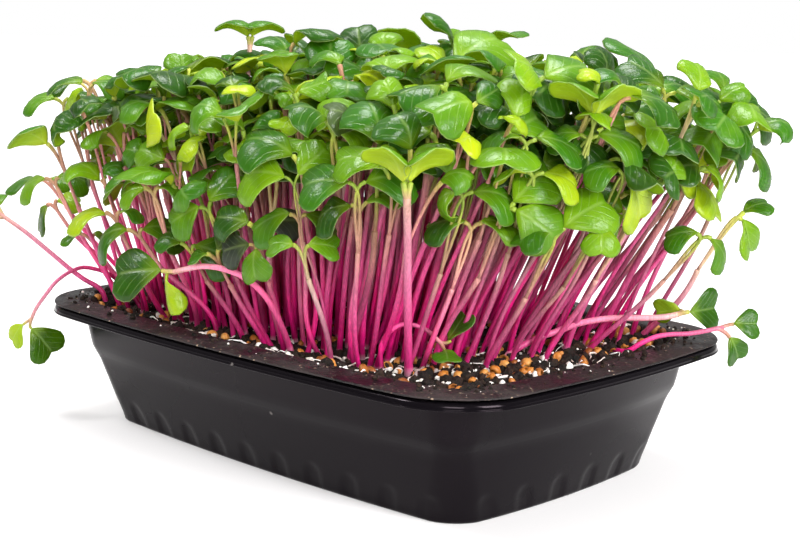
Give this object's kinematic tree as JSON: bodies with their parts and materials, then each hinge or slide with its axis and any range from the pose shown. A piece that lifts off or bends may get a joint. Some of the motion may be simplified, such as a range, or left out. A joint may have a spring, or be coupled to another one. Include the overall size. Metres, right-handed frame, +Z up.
{
  "type": "tray of radish microgreens",
  "caption": "Black rectangular food tray of growing medium with a dense crop of pink-stemmed radish microgreens that lean out over the rim.",
  "frame": {"origin": "centre of the outer tray's flat underside", "axes": "+Z up, +X along the long side of the tray"},
  "size_m": [0.2518, 0.1462, 0.1279],
  "materials": {
    "outer_tray": "black thermoformed polypropylene with a soft sheen",
    "inner_tray": "black thermoformed polypropylene under a film of dry soil dust",
    "growing_medium": "dark moist coir and peat with white perlite flecks",
    "crop": "patch of seedlings on matted roots: green seed leaves on pink stems",
    "pink_stem": "smooth juicy stem, magenta at the foot and paler upwards",
    "pale_stem": "smooth juicy stem, pale pink to tan",
    "leaf": "fleshy seed leaf with a soft sheen, yellow-green underneath",
    "seed_hull": "empty tan-orange seed coat",
    "perlite": "rough white expanded mineral grain"
  },
  "bodies": {
    "root": {"outer_tray": "outer_tray", "inner_tray": "inner_tray", "growing_medium": "growing_medium", "arched_front_stem": "pale_stem", "arched_front_leaf_1": "leaf", "arched_front_leaf_2": "leaf", "small_arch_stem": "pink_stem", "small_arch_leaf_1": "leaf", "small_arch_leaf_2": "leaf", "lying_front_stem": "pale_stem", "lying_front_leaf_1": "leaf", "lying_front_leaf_2": "leaf", "lying_right_stem": "pink_stem", "lying_right_leaf_1": "leaf", "lying_right_leaf_2": "leaf", "leaning_left_stem": "pale_stem", "leaning_left_leaf_1": "leaf", "leaning_left_leaf_2": "leaf", "hanging_left_stem": "pink_stem", "hanging_left_leaf_1": "leaf", "hanging_left_leaf_2": "leaf", "tall_middle_stem": "pale_stem", "tall_middle_leaf_1": "leaf", "tall_middle_leaf_2": "leaf", "big_front_stem": "pale_stem", "big_front_leaf_1": "leaf", "big_front_leaf_2": "leaf", "sprouts_1_1": "crop", "sprouts_1_2": "crop", "sprouts_1_3": "crop", "sprouts_1_4": "crop", "sprouts_1_5": "crop", "sprouts_1_6": "crop", "sprouts_2_1": "crop", "sprouts_2_2": "crop", "sprouts_2_3": "crop", "sprouts_2_4": "crop", "sprouts_2_5": "crop", "sprouts_2_6": "crop", "sprouts_3_1": "crop", "sprouts_3_2": "crop", "sprouts_3_3": "crop", "sprouts_3_4": "crop", "sprouts_3_5": "crop", "sprouts_3_6": "crop", "sprouts_4_1": "crop", "sprouts_4_2": "crop", "sprouts_4_3": "crop", "sprouts_4_4": "crop", "sprouts_4_5": "crop", "sprouts_4_6": "crop", "seed_hull_1": "seed_hull", "seed_hull_2": "seed_hull", "seed_hull_3": "seed_hull", "seed_hull_4": "seed_hull", "seed_hull_5": "seed_hull", "seed_hull_6": "seed_hull", "perlite_1": "perlite", "perlite_2": "perlite", "perlite_3": "perlite"}
  },
  "joints": []
}
